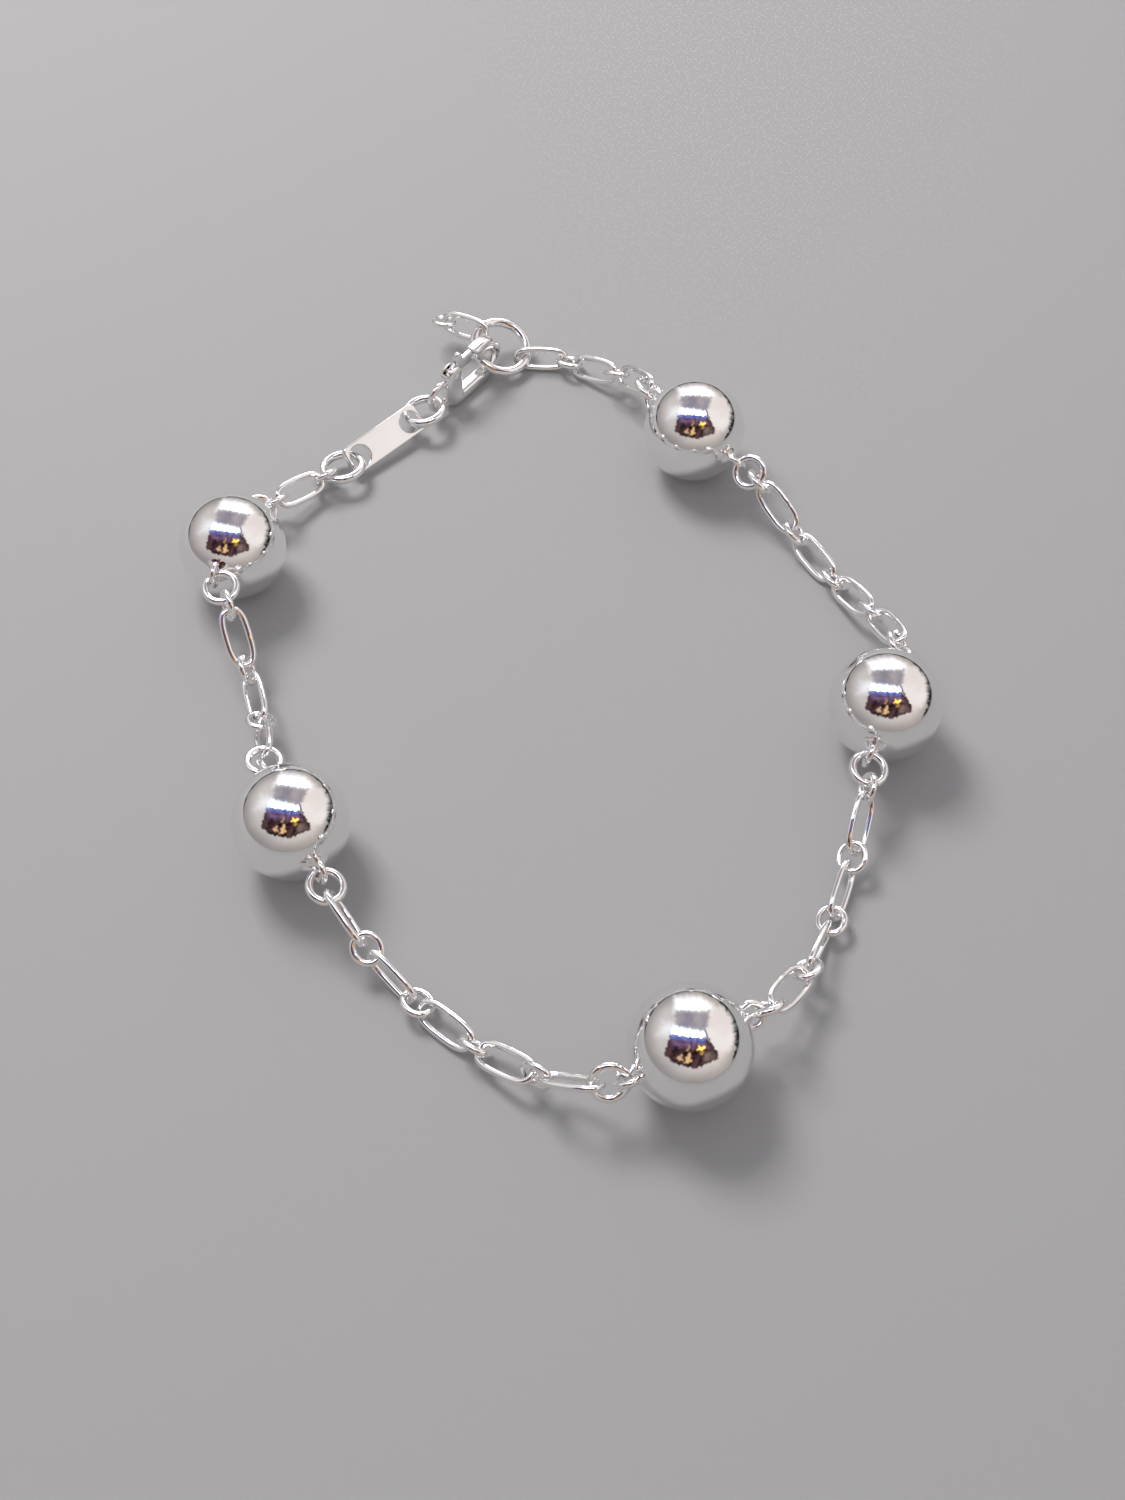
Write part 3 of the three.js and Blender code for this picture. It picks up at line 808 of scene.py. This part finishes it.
def mottle(right, up, size):
    """Soft uneven patches of about this size, from 0 to 1."""
    total = np.zeros_like(right)
    for octave in range(3):
        turn, scale = 0.6 + 2.1 * octave, 2**octave * math.pi / size
        across = (right * math.cos(turn) + up * math.sin(turn)) * scale
        along = (up * math.cos(turn) - right * math.sin(turn)) * scale
        total += np.sin(across + 1.6 * np.sin(0.8 * along + octave)) * np.cos(0.7 * along) / 2**octave
    return soft_step(0.5 + total / 2.4)


def tent_colours(ways, right, up):
    """The bare tent: its two tones, dimmer near the floor, with soft folds."""
    colours = blend(TENT["left"], TENT["right"], soft_step(right / TENT["meet_over"] + TENT["right_share"]))
    low_light = TENT["low_light"]
    height = low_light + (1 - low_light) * soft_step(ways[:, 2] / TENT["full_light_from"])
    folds = TENT["fold_dark"] + TENT["fold_range"] * mottle(right, up, TENT["fold_size"])
    return colours * (height * folds)[:, None]


def hem_share(ways, right, up):
    """1 where the dark gap under the tent's hem is, 0 elsewhere, and soft between."""
    bearing = np.degrees(np.arctan2(ways[:, 1], ways[:, 0]))
    rise = np.degrees(np.arcsin(np.clip(ways[:, 2], -1, 1)))
    hump = np.exp(-((bearing - HEM["bearing"]) / HEM["spread"]) ** 2)
    wide = HEM["low"] + (HEM["high"] - HEM["low"]) * hump
    rags = HEM["rag_low"] + HEM["rag_range"] * mottle(right, up, HEM["rag_size"])
    share = soft_step((wide * rags - rise) / HEM["blur"] + 0.5)
    begun = soft_step((bearing - HEM["from"]) / HEM["from_blur"])
    unended = soft_step((HEM["to"] - bearing) / HEM["to_blur"])
    return share * (begun * unended)


def studio_colours(ways):
    """Light that comes from each way: the tent, and what is in it and under its hem."""
    right, up = mirrored_place(ways)
    colours = tent_colours(ways, right, up)
    dark = blend(HEM["dark"], HEM["grey"], mottle(right + 2, up, HEM["grey_size"]) ** 3)
    colours += (dark - colours) * hem_share(ways, right, up)[:, None]
    ragged_right = right + RAGGED * (np.sin(61 * up + 1) + np.sin(103 * up))
    ragged_up = up + RAGGED * (np.sin(57 * right) + np.sin(96 * right + 1))
    for (first, second), patch, blur, corners in STUDIO.values():
        share = inside(ragged_right, ragged_up, corners, blur)[:, None]
        colours += (blend(first, second, mottle(right, up, patch)) - colours) * share
    return colours


def studio_material():
    """Gives off the light that is stored at the tent's corners."""
    material = bpy.data.materials.new("studio")
    material.use_nodes = True
    material.cycles.emission_sampling = "NONE"
    nodes, links = material.node_tree.nodes, material.node_tree.links
    nodes.clear()
    light = nodes.new("ShaderNodeAttribute")
    light.attribute_name = "light"
    glow = nodes.new("ShaderNodeEmission")
    links.new(light.outputs["Color"], glow.inputs["Color"])
    output = nodes.new("ShaderNodeOutputMaterial")
    links.new(glow.outputs["Emission"], output.inputs["Surface"])
    return material


def only_mirrored(panel):
    """Marks a part of the studio that shows in the silver and nowhere else."""
    panel.visible_camera = False
    panel.visible_diffuse = False
    panel.visible_shadow = False


dome = bmesh.new()
bmesh.ops.create_uvsphere(
    dome, u_segments=TENT["facets"], v_segments=TENT["facets"] // 2, radius=TENT["radius"],
)
tent_mesh = bpy.data.meshes.new("tent")
dome.to_mesh(tent_mesh)
dome.free()
tent_ways = np.array([vertex.co for vertex in tent_mesh.vertices]) / TENT["radius"]
tent_light = np.ones((len(tent_ways), 4))
tent_light[:, :3] = studio_colours(tent_ways)
stored_light = tent_mesh.color_attributes.new("light", "FLOAT_COLOR", "POINT")
stored_light.data.foreach_set("color", tent_light.ravel())
tent_mesh.materials.append(studio_material())
tent = bpy.data.objects.new("tent", tent_mesh)
bpy.context.scene.collection.objects.link(tent)
only_mirrored(tent)
